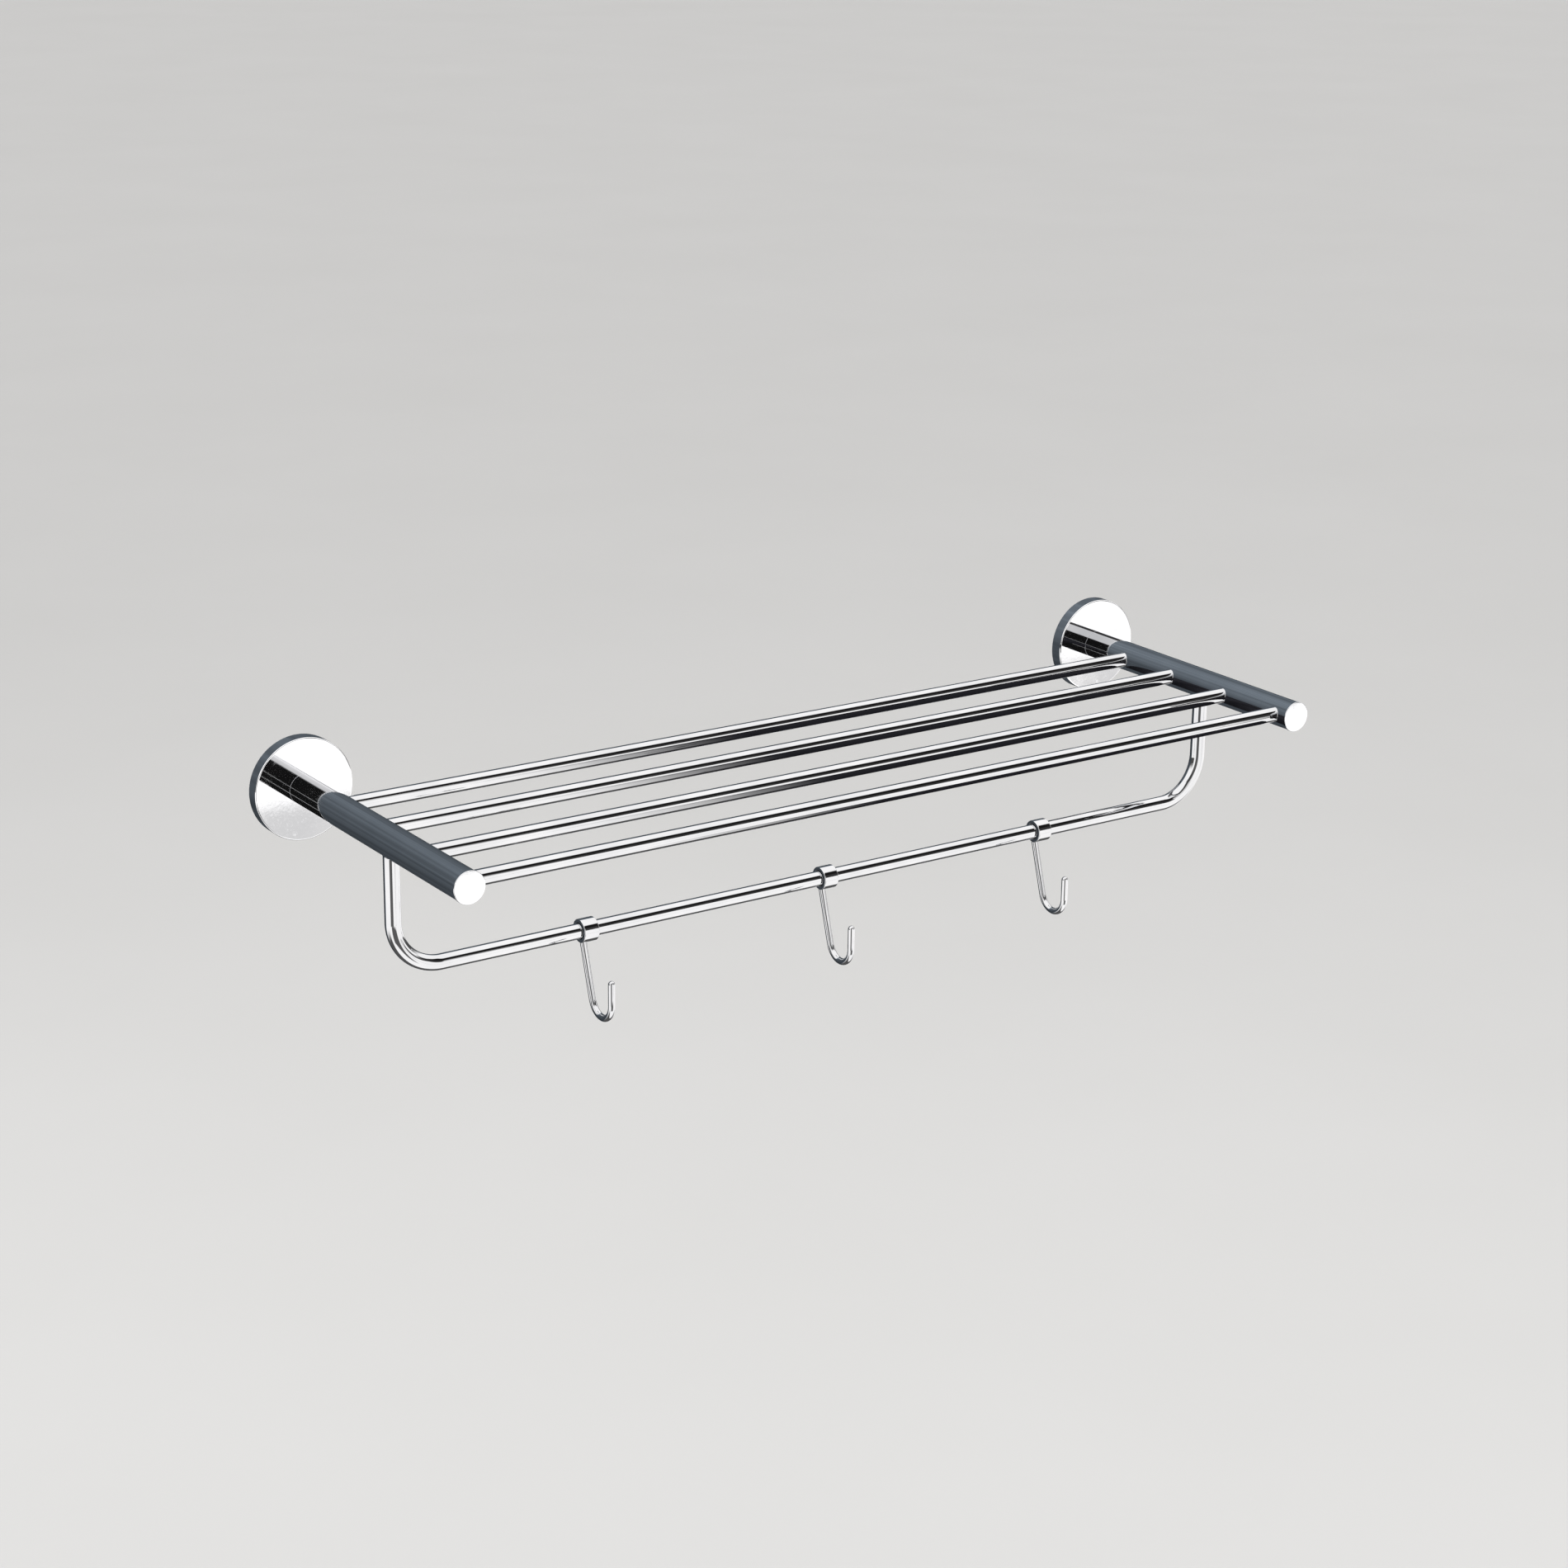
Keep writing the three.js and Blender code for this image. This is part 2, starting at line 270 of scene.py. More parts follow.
def keep_true(obj, origin, axis, radii):
    """Gives a tube's round walls, and its faces square to the axis, their exact normals.

    Without that a rounded edge or a drilled hole tilts the normals beside it and bends reflections.
    """
    square = 0.9999
    nearly_radial = 0.97
    tolerance = 0.02 * MM
    mesh = obj.data
    normals = [n.vector.copy() for n in mesh.corner_normals]
    for face in mesh.polygons:
        for corner in face.loop_indices:
            if abs(face.normal.dot(axis)) > square:
                normals[corner] = face.normal.copy()
                continue
            offset = mesh.vertices[mesh.loops[corner].vertex_index].co - origin
            radial = offset - axis * offset.dot(axis)
            on_wall = any(abs(radial.length - r) < tolerance for r in radii)
            facing = face.normal.dot(radial.normalized())
            if on_wall and abs(facing) > nearly_radial:
                normals[corner] = radial.normalized() * math.copysign(1, facing)
    mesh.normals_split_custom_set(normals)


def flat_faces(obj):
    """Lets large faces decide the normals, so that a rounded edge doesn't tilt the flat beside it."""
    modifier = obj.modifiers.new("weighted", "WEIGHTED_NORMAL")
    modifier.keep_sharp = True
    modifier.weight = 80


def reach(start, heading, origin, axis, radius):
    """How far along its heading a line meets a cylinder or passes closest to it, and how squarely."""
    across = heading - axis * heading.dot(axis)
    offset = start - origin
    offset = offset - axis * offset.dot(axis)
    a = across.dot(across)
    b = offset.dot(across)
    c = offset.dot(offset) - radius * radius
    half_chord = math.sqrt(max(b * b - a * c, 0))
    return (-b - half_chord) / a, half_chord / radius


def braze(name, start, heading, stock, origin, axis, radius, leg, furthest=math.inf):
    """The concave fillet where round stock meets a cylinder.

    Start and heading are the stock's line, going in. The fillet stops at the furthest distance
    along that line, and thins out where the stock passes beside the cylinder.
    """
    segments = 64
    arc_steps = 5
    thinnest = 0.1
    bury = 0.03 * MM
    side = heading.orthogonal().normalized()
    other = heading.cross(side)
    rings = []
    for k in range(segments):
        angle = 2 * math.pi * k / segments
        spoke = side * math.cos(angle) + other * math.sin(angle)
        on_stock = start + spoke * stock
        into, squareness = reach(on_stock, heading, origin, axis, radius)
        spread = leg * max(squareness, thinnest)
        corner = on_stock + heading * min(into, furthest)
        beyond = start + spoke * (stock + spread)
        into, _ = reach(beyond, heading, origin, axis, radius)
        foot = beyond + heading * min(into, furthest)
        top = corner - heading * spread
        ring = []
        for step in range(arc_steps + 1):
            t = step / arc_steps
            ring.append(top * (1 - t) ** 2 + corner * (2 * t * (1 - t)) + foot * t ** 2)
        ring.append(foot + heading * bury)
        ring.append(corner + (heading - spoke) * bury)
        ring.append(top - spoke * bury)
        rings.append(ring)
    return looped_object(name, rings)


# ---------------------------------------------------------------- materials

class Graph:
    """The node tree of a material or a world, with the few kinds of node used here."""

    def __init__(self, owner):
        owner.use_nodes = True
        self.nodes = owner.node_tree.nodes
        self.links = owner.node_tree.links

    def add(self, kind):
        return self.nodes.new(f"ShaderNode{kind}")

    def feed(self, socket, value):
        """Links an output to a socket, or sets a plain value on it."""
        if isinstance(value, bpy.types.NodeSocket):
            self.links.new(value, socket)
        else:
            socket.default_value = value

    def math(self, operation, *values):
        node = self.add("Math")
        node.operation = operation
        for socket, value in zip(node.inputs, values):
            self.feed(socket, value)
        return node.outputs["Value"]

    def summed(self, first, *others):
        total = first
        for value in others:
            total = self.math("ADD", total, value)
        return total

    def remapped(self, value, before, after):
        """Eases a value from the range before to the range after, and holds it at their ends."""
        node = self.add("MapRange")
        node.interpolation_type = "SMOOTHSTEP"
        self.feed(node.inputs["Value"], value)
        node.inputs["From Min"].default_value, node.inputs["From Max"].default_value = before
        node.inputs["To Min"].default_value, node.inputs["To Max"].default_value = after
        return node.outputs["Result"]

    def tinted(self, value, dark, light):
        node = self.add("Mix")
        node.data_type = "RGBA"
        self.feed(node.inputs["Factor"], value)
        node.inputs["A"].default_value = (*dark, 1)
        node.inputs["B"].default_value = (*light, 1)
        return node.outputs["Result"]

    def noise(self, scale, detail, place):
        texture = self.add("TexNoise")
        texture.inputs["Scale"].default_value = scale
        texture.inputs["Detail"].default_value = detail
        texture.inputs["Roughness"].default_value = 0.55
        self.feed(texture.inputs["Vector"], place)
        return texture.outputs["Fac"]


class Surface(Graph):
    """A material built round one Principled shader."""

    def __init__(self, name):
        self.material = bpy.data.materials.new(name)
        super().__init__(self.material)
        self.shader = self.nodes["Principled BSDF"]

    def give(self, socket, value):
        self.feed(self.shader.inputs[socket], value)

    def speckle(self, scale, detail, stretch=(1, 1, 1)):
        """Noise in the rack's frame, in features per metre, stretched by a scale on each axis."""
        mapping = self.add("Mapping")
        mapping.inputs["Scale"].default_value = stretch
        self.feed(mapping.inputs["Vector"], self.add("TexCoord").outputs["Object"])
        return self.noise(scale, detail, mapping.outputs["Vector"])

    def bump(self, height, distance):
        node = self.add("Bump")
        node.inputs["Distance"].default_value = distance
        self.feed(node.inputs["Height"], height)
        self.give("Normal", node.outputs["Normal"])


def chrome(name, grain, painted_shade_scale=1.0):
    """Bright plate with haze, dried water marks and faint polishing lines.

    Grain is the lines' stretch on each axis; the last argument scales the plate's colour down, which
    paints shade into darker copies of the same chrome.
    """
    surface = Surface(name)
    haze = surface.speckle(scale=22, detail=5)
    marks = surface.speckle(scale=190, detail=3)
    lines = surface.speckle(scale=1, detail=2, stretch=grain)
    dark = [painted_shade_scale * part for part in (0.80, 0.81, 0.83)]
    light = [painted_shade_scale * part for part in (0.90, 0.905, 0.92)]
    roughness = surface.summed(
        surface.remapped(haze, (0.40, 0.75), (0.025, 0.075)),
        surface.remapped(marks, (0.62, 0.74), (0.0, 0.06)),
        surface.remapped(lines, (0.45, 0.8), (0.0, 0.035)),
    )
    surface.give("Metallic", 1)
    surface.give("Base Color", surface.tinted(surface.remapped(haze, (0.3, 0.72), (0, 1)), dark, light))
    surface.give("Roughness", roughness)
    surface.bump(surface.summed(lines, marks), 0.0015 * MM)
    return surface.material


def steel(name, grain):
    """Plain stainless fasteners with turning marks."""
    surface = Surface(name)
    lines = surface.speckle(scale=1, detail=3, stretch=grain)
    stains = surface.speckle(scale=260, detail=4)
    surface.give("Metallic", 1)
    surface.give("Base Color", surface.tinted(stains, (0.46, 0.45, 0.43), (0.66, 0.66, 0.65)))
    surface.give("Roughness", surface.remapped(lines, (0.3, 0.7), (0.22, 0.42)))
    surface.bump(lines, 0.01 * MM)
    return surface.material


def zinc(name):
    """As-cast zinc: dull, mottled, with a fine grain; its skin is part oxide."""
    surface = Surface(name)
    mottle = surface.speckle(scale=90, detail=6)
    grain = surface.speckle(scale=1400, detail=4)
    shade_of = surface.remapped(mottle, (0.3, 0.7), (0, 1))
    surface.give("Metallic", 0.55)
    surface.give("Base Color", surface.tinted(shade_of, (0.40, 0.41, 0.42), (0.60, 0.61, 0.62)))
    surface.give("Roughness", surface.remapped(mottle, (0.3, 0.7), (0.5, 0.36)))
    surface.bump(grain, 0.06 * MM)
    return surface.material


def nylon(name, dark, light, roughness):
    """Moulded nylon: slightly waxy, with flow marks and a fine texture."""
    surface = Surface(name)
    flow = surface.speckle(scale=1, detail=4, stretch=(260, 60, 260))
    texture = surface.speckle(scale=2200, detail=3)
    spread = 0.08
    sheen = surface.remapped(flow, (0.3, 0.7), (roughness - spread, roughness + spread))
    surface.give("Base Color", surface.tinted(flow, dark, light))
    surface.give("Roughness", sheen)
    surface.give("Specular IOR Level", 0.4)
    surface.bump(texture, 0.04 * MM)
    return surface.material


ALONG_X = (8, 2600, 2600)
ALONG_Y = (2600, 8, 2600)
EVEN = (700, 700, 700)
TURNED = (900, 4000, 900)

MATERIALS = {
    "flange_chrome": chrome("flange_chrome", EVEN),
    "arm_chrome": chrome("arm_chrome", ALONG_Y),
    # Rails and hooks take the same chrome with painted shade: its colour scaled darker.
    "rail_chrome": chrome("rail_chrome", ALONG_X, painted_shade_scale=0.78),
    "hook_chrome": chrome("hook_chrome", EVEN, painted_shade_scale=0.78),
    "stainless_steel": steel("stainless_steel", TURNED),
    "die_cast_zinc": zinc("die_cast_zinc"),
    "plug_nylon": nylon("plug_nylon", (0.50, 0.48, 0.42), (0.62, 0.60, 0.54), 0.5),
    "liner_nylon": nylon("liner_nylon", (0.022, 0.022, 0.024), (0.04, 0.04, 0.042), 0.45),
}

# No reflection holds these, so that flanges and arms show the studio alone.
NOT_MIRRORED = {*RAILS, "towel_bar"}


def fitted(obj, body, material, slot, *nodes):
    """Gives a piece its material, its body and the CAD nodes it stands for."""
    obj.visible_glossy = not NOT_MIRRORED.intersection(nodes)
    obj.data.materials.clear()
    obj.data.materials.append(MATERIALS[material])
    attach(obj, body)
    if nodes:
        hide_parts(*nodes)


# ---------------------------------------------------------------- flanges, arms and caps

def arm_axis(side):
    centre = middle(f"{side}_arm")
    return Vector((centre.x, 0, centre.z))


def flange(side):
    node = f"{side}_flange"
    axis = arm_axis(side)
    radius = size(node).x / 2
    depth = size(node).y
    face = 2 * MM
    rim = 2.5 * MM
    hole = 3.3 * MM
    cup = turned(
        f"{node}_cup",
        [
            (radius, 0, 0.25 * MM),
            (radius, depth, 0.8 * MM),
            (hole, depth, 0),
            (hole, depth - face, 0),
            (radius - rim, depth - face, 0.6 * MM),
            (radius - rim, 0, 0.2 * MM),
        ],
        axis,
        OUT,
        160,
    )
    screw = f"{side}_set_screw"
    drill_radius = size(screw).x / 2 + DRILL_GAP
    drill_start = middle(screw) + Z * 3 * MM
    cut(cup, [rod_tool(drill_start, -Z, drill_radius, 10 * MM, 32)])
    keep_true(cup, axis, Y, (radius, radius - rim))
    fitted(cup, "rack", "flange_chrome", "flange_chrome", node)


def arm(side):
    node = f"{side}_arm"
    axis = arm_axis(side)
    radius = size(node).x / 2
    inner = radius - ARM_WALL
    start = size(f"{side}_flange").y + TOUCH
    end = -low(f"{side}_end_cap").y - CAP_THICKNESS - TOUCH
    corners = tube_corners(radius, inner, start, end, 0.15 * MM)
    stock = turned(f"{node}_tube", corners, axis, OUT, 144)
    inward = X if axis.x < 0 else -X
    drill_length = radius + 2 * MM
    tools = []
    for rail in RAILS:
        centre = middle(rail)
        hole = size(rail).z / 2 + DRILL_GAP
        tools.append(rod_tool(Vector((axis.x, centre.y, centre.z)), inward, hole, drill_length))
    bar_hole = size("towel_bar").y / 2 + DRILL_GAP
    tools.append(rod_tool(Vector((axis.x, middle("towel_bar").y, axis.z)), -Z, bar_hole, drill_length))
    cut(stock, tools)
    keep_true(stock, axis, Y, (radius, inner))
    fitted(stock, "rack", "arm_chrome", "tube_chrome", node)


def end_cap(side):
    node = f"{side}_end_cap"
    front = -low(node).y
    back = -high(node).y
    radius = size(node).x / 2
    shoulder = front - CAP_THICKNESS
    spigot = size(f"{side}_arm").x / 2 - ARM_WALL - TOUCH
    cap = turned(
        f"{node}_turned",
        [
            (0, back, 0),
            (spigot, back, 0.4 * MM),
            (spigot, shoulder, 0),
            (radius, shoulder, 0.15 * MM),
            (radius, front, 0.45 * MM),
            (0, front, 0),
        ],
        arm_axis(side),
        OUT,
        128,
    )
    flat_faces(cap)
    fitted(cap, "rack", "flange_chrome", "flange_chrome", node)


# ---------------------------------------------------------------- rails and towel bar

def shelf_rail(node):
    centre = middle(node)
    half = size(node).x / 2
    radius = size(node).z / 2
    inner = radius - TUBE_WALL
    axis = Vector((0, centre.y, centre.z))
    rail = turned(f"{node}_tube", tube_corners(radius, inner, -half, half, 0.15 * MM), axis, X, 72)
    keep_true(rail, axis, X, (radius, inner))
    fitted(rail, "rack", "rail_chrome", "tube_chrome", node)


def towel_bar():
    node = "towel_bar"
    lo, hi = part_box(node)
    radius = size(node).y / 2
    bend = 30 * MM
    segments = 72
    leg = hi.z - lo.z - radius - bend
    across = hi.x - lo.x - 2 * radius - 2 * bend
    quarter = ("bend", math.pi / 2, bend)
    places = bent_stock(
        Vector((lo.x + radius, middle(node).y, hi.z)),
        -Z,
        OUT,
        [("run", leg), quarter, ("run", across), quarter, ("run", leg)],
    )
    outside = swept_rings(places, OUT, radius, segments)
    inside = swept_rings(places, OUT, radius - TUBE_WALL, segments)
    bar = looped_object("towel_bar_tube", outside + inside[::-1])
    fitted(bar, "rack", "rail_chrome", "tube_chrome", node)


def rail_brazes(side):
    axis = arm_axis(side)
    arm_radius = size(f"{side}_arm").x / 2
    outward = -X if axis.x < 0 else X
    for number, rail in enumerate(RAILS, 1):
        name = f"{side}_rail_braze_{number}"
        rail_radius = size(rail).z / 2
        fillet = braze(name, middle(rail), outward, rail_radius, axis, Y, arm_radius, 0.5 * MM)
        fitted(fillet, "rack", "hook_chrome", "tube_chrome")
    bar = middle("towel_bar")
    foot = Vector((axis.x, bar.y, bar.z))
    bar_radius = size("towel_bar").y / 2
    fillet = braze(f"{side}_bar_braze", foot, Z, bar_radius, axis, Y, arm_radius, 0.9 * MM)
    fitted(fillet, "rack", "hook_chrome", "tube_chrome")


# ---------------------------------------------------------------- hooks

HOOK_LEAN = math.radians(17)
HOOK_STEM = 36.4 * MM
HOOK_BEND = 11.2 * MM
HOOK_TIP = 13.4 * MM


def bar_axis(hook):
    return middle(f"{hook}_ring")


def hook_ring(hook):
    """A collar with a lip at each end; the liner lies between the lips."""
    node = f"{hook}_ring"
    half = size(node).x / 2
    radius = size(node).z / 2
    lip = 5.15 * MM
    groove = 5.8 * MM
    lip_length = 1 * MM
    ring = turned(
        f"{node}_collar",
        [
            (lip, -half, 0.2 * MM),
            (radius, -half, 0.5 * MM),
            (radius, half, 0.5 * MM),
            (lip, half, 0.2 * MM),
            (lip, half - lip_length, 0),
            (groove, half - lip_length, 0),
            (groove, lip_length - half, 0),
            (lip, lip_length - half, 0),
        ],
        bar_axis(hook),
        X,
        96,
    )
    flat_faces(ring)
    fitted(ring, hook, "hook_chrome", "hook_chrome", node)


def hook_liner(hook):
    node = f"{hook}_liner"
    half = size(node).x / 2
    outer = size(node).y / 2
    inner = outer - 0.55 * MM
    slit_width = 0.8 * MM
    axis = bar_axis(hook)
    corners = tube_corners(outer, inner, -half, half, 0.1 * MM)
    sleeve = turned(f"{node}_sleeve", corners, axis, X, 72)
    cut(sleeve, [box_tool(axis + Z * outer, 4 * half, slit_width, 2 * MM)])
    fitted(sleeve, f"{hook}_slider", "liner_nylon", "liner_nylon", node)


def hook_wire(hook):
    """The J: coped onto the ring, leaning stem, round bend, upright tip with a domed end."""
    node = f"{hook}_wire"
    lo = low(node)
    radius = size(node).x / 2
    axis = bar_axis(hook)
    ring_radius = size(f"{hook}_ring").z / 2
    segments = 48
    heading = OUT * math.sin(HOOK_LEAN) - Z * math.cos(HOOK_LEAN)
    bend_centre = Vector((axis.x, lo.y + radius + HOOK_BEND, lo.z + radius + HOOK_BEND))
    stem_end = bend_centre + heading.cross(-X) * HOOK_BEND
    moves = [("bend", math.pi - HOOK_LEAN, HOOK_BEND), ("run", HOOK_TIP)]
    places = bent_stock(stem_end, heading, -X, moves)
    rings = swept_rings(places, -X, radius, segments)
    up_stem = HOOK_STEM + radius
    cope = []
    for point in rings[0]:
        on_ring, _ = reach(point, -heading, axis, X, ring_radius + TOUCH)
        cope.append(point - heading * min(on_ring, up_stem))
    rings.insert(0, cope)
    end_point, end_heading = places[-1]
    dome_steps = 8
    for step in range(1, dome_steps):
        rise = math.pi / 2 * step / dome_steps
        point = end_point + end_heading * radius * math.sin(rise)
        rings += swept_rings([(point, end_heading)], -X, radius * math.cos(rise), segments)
    root = sum(cope, Vector()) / segments
    wire = capped_object(f"{node}_bent", rings, root, end_point + end_heading * radius)
    fitted(wire, hook, "hook_chrome", "hook_chrome", node)
    name = f"{node}_braze"
    furthest = up_stem - TOUCH
    fillet = braze(name, stem_end, -heading, radius, axis, X, ring_radius, 0.7 * MM, furthest)
    fitted(fillet, hook, "hook_chrome", "hook_chrome")


# ---------------------------------------------------------------- what holds the rack to the wall

POCKET_STARTS = (5, 40, 108, 143, 185, 220, 288, 323)  # degrees; the ribs and screw holes lie between


def wall_bracket(side):
    """A zinc casting: grooved edge, open middle, pockets on its back and two countersunk holes."""
    node = f"{side}_wall_bracket"
    axis = arm_axis(side)
    radius = size(node).x / 2
    thickness = size(node).y
    eye = 8 * MM
    groove = 1.6 * MM
    groove_at = 3.5 * MM
    disc = turned(
        f"{node}_casting",
        [
            (eye, 0, 0.3 * MM),
            (radius, 0, 0.2 * MM),
            (radius, groove_at - groove, 0),
            (radius - groove, groove_at, 0.2 * MM),
            (radius, groove_at + groove, 0),
            (radius, thickness, 0.4 * MM),
            (eye, thickness, 0.3 * MM),
        ],
        axis,
        OUT,
        128,
    )
    tools = [pocket(axis, angle) for angle in POCKET_STARTS]
    head = size(f"{side}_wall_screw_upper").x / 2
    for place in ("upper", "lower"):
        screw = middle(f"{side}_wall_screw_{place}")
        tools.append(countersink(Vector((screw.x, 0, screw.z)), head, thickness))
    cut(disc, tools)
    fitted(disc, "rack", "die_cast_zinc", "die_cast_zinc", node)


def pocket(axis, start_degrees):
    """A sector-shaped tool that hollows the back of a bracket between two ribs."""
    inner, outer, deep = 11 * MM, 24.5 * MM, 2.6 * MM
    sweep = math.radians(32)
    start = math.radians(start_degrees)
    steps = 8
    arc = [start + sweep * i / steps for i in range(steps + 1)]
    outline = [(outer, a) for a in arc] + [(inner, a) for a in reversed(arc)]
    verts = []
    for depth in (-1 * MM, deep):
        verts += [axis + (X * math.cos(a) + Z * math.sin(a)) * r + OUT * depth for r, a in outline]
    count = len(outline)
    faces = [tuple(range(count)), tuple(range(2 * count - 1, count - 1, -1))]
    faces += [(i, (i + 1) % count, count + (i + 1) % count, count + i) for i in range(count)]
    return mesh_object("tool", verts, faces)


def countersink(origin, head, thickness):
    shank = 2.15 * MM
    mouth = head + 0.2 * MM
    past = 1 * MM
    corners = [
        (0, -past, 0),
        (shank, -past, 0),
        (shank, thickness - 2.5 * MM, 0),
        (mouth, thickness - 0.4 * MM, 0),
        (mouth, thickness + past, 0),
        (0, thickness + past, 0),
    ]
    return turned("tool", corners, origin, OUT, 48)


def threaded(name, profile, origin, along, pitch, depth, thread_from, thread_to):
    """A turned shank, from (radius, along) points, whose radius follows a helix between two heights."""
    segments = 32
    thinnest = 0.1 * MM
    place = axis_frame(origin, along)
    spacing = pitch / 6
    outline = []
    for (r0, a0), (r1, a1) in zip(profile, profile[1:]):
        steps = max(1, math.ceil(abs(a1 - a0) / spacing))
        outline += [(r0 + (r1 - r0) * i / steps, a0 + (a1 - a0) * i / steps) for i in range(steps)]
    outline.append(profile[-1])
    rings = []
    for radius, height in outline[1:-1]:
        inside = thread_from <= height <= thread_to
        ring = []
        for k in range(segments):
            phase = (height / pitch - k / segments) % 1
            below_crest = abs(2 * phase - 1)
            r = max(radius - depth * below_crest if inside else radius, thinnest)
            ring.append(on_circle(place, r, 2 * math.pi * k / segments, height))
        rings.append(ring)
    ends = [place @ Vector((0, 0, outline[i][1])) for i in (0, -1)]
    return capped_object(name, rings, *ends)


def wall_screw(side, place):
    node = f"{side}_wall_screw_{place}"
    centre = middle(node)
    origin = Vector((centre.x, 0, centre.z))
    head = size(node).x / 2
    top, tip = -low(node).y, -high(node).y
    core = 1.9 * MM
    screw = threaded(
        f"{node}_threaded",
        [
            (0, tip),
            (0.4 * MM, tip + 0.3 * MM),
            (core, tip + 3.8 * MM),
            (core, top - 2.2 * MM),
            (head, top - 0.3 * MM),
            (head, top),
            (0, top),
        ],
        origin,
        OUT,
        pitch=1.6 * MM,
        depth=0.5 * MM,
        thread_from=tip,
        thread_to=top - 4 * MM,
    )
    slot_length, slot_depth, slot_width = 4 * MM, 2.8 * MM, 0.9 * MM
    slots = [
        box_tool(origin + OUT * top, slot_length, slot_depth, slot_width),
        box_tool(origin + OUT * top, slot_width, slot_depth, slot_length),
    ]
    cut(screw, slots)
    fitted(screw, "rack", "stainless_steel", "stainless_steel", node)


def wall_plug(side, place):
    """A nylon plug with saw-tooth ribs, slit from its far end."""
    node = f"{side}_wall_plug_{place}"
    centre = middle(node)
    origin = Vector((centre.x, 0, centre.z))
    radius = size(node).x / 2
    mouth, end = low(node).y, high(node).y
    bore = 2.1 * MM
    root = radius - 0.6 * MM
    steep = 0.4 * MM  # length of a tooth's steep side
    ribs_from = 5 * MM
    ribs = 7
    pitch = (end - ribs_from) / ribs
    teeth = []
    for i in range(ribs):
        teeth.append((radius, ribs_from + i * pitch, 0))
        teeth.append((root, ribs_from + (i + 1) * pitch - steep, 0))
    corners = [(bore, mouth, 0.2 * MM), (radius, mouth, 0.3 * MM), *teeth]
    corners += [(root, end, 0.3 * MM), (bore, end, 0.2 * MM)]
    plug = turned(f"{node}_ribbed", corners, origin, Y, 48)
    past = 10 * MM
    slit_centre = origin + Y * (ribs_from + end + past) / 2
    cut(plug, [box_tool(slit_centre, 1 * MM, end - ribs_from + past, 20 * MM)])
    fitted(plug, "rack", "plug_nylon", "plug_nylon", node)


def set_screw(side):
    node = f"{side}_set_screw"
    centre = middle(node)
    radius = size(node).x / 2
    foot, point = low(node).z, high(node).z
    origin = Vector((centre.x, centre.y, 0))
    flat = 0.3 * MM
    screw = turned(
        f"{node}_turned",
        [
            (0, foot, 0),
            (radius, foot, 0.2 * MM),
            (radius, point - radius + flat, 0.1 * MM),
            (flat, point, 0.1 * MM),
            (0, point, 0),
        ],
        origin,
        Z,
        48,
    )
    cut(screw, [hexagon_tool(origin + Z * foot, Z, 2 * MM, 2 * MM)])
    fitted(screw, "rack", "stainless_steel", "stainless_steel", node)


def arm_screw(side):
    node = f"{side}_arm_screw"
    head = size(node).x / 2
    back, front = -high(node).y, -low(node).y
    shoulder = back + 3.5 * MM
    shank = 3 * MM
    head_edge = 0.4 * MM
    tip_edge = 0.6 * MM
    axis = arm_axis(side)
    screw = threaded(
        f"{node}_threaded",
        [
            (0, back),
            (head - head_edge, back),
            (head, back + head_edge),
            (head, shoulder),
            (shank, shoulder),
            (shank, front - tip_edge),
            (shank - tip_edge, front),
            (0, front),
        ],
        axis,
        OUT,
        pitch=1 * MM,
        depth=0.35 * MM,
        thread_from=shoulder + 3 * MM,
        thread_to=front,
    )
    cut(screw, [hexagon_tool(axis + OUT * back, OUT, 4 * MM, 2 * MM)])
    fitted(screw, "rack", "stainless_steel", "stainless_steel", node)


def arm_plug(side):
    node = f"{side}_arm_plug"
    radius = size(node).x / 2
    bore = 3.3 * MM
    start, end = -high(node).y, -low(node).y
    corners = tube_corners(radius, bore, start, end, 0.5 * MM)
    plug = turned(f"{node}_turned", corners, arm_axis(side), OUT, 64)
    fitted(plug, "rack", "die_cast_zinc", "die_cast_zinc", node)


# ---------------------------------------------------------------- the studio

TENT = 1.35  # brightness of the white tent round the rack
DARKEST = 0.008  # brightness that every direction has
TENT_COLOUR = (1.0, 0.985, 0.975)
WALL_COLOUR = (0.83, 0.97, 1.12)
BACKDROP_COLOUR = (1.0, 1.0, 0.985)
BACKDROP = 0.64


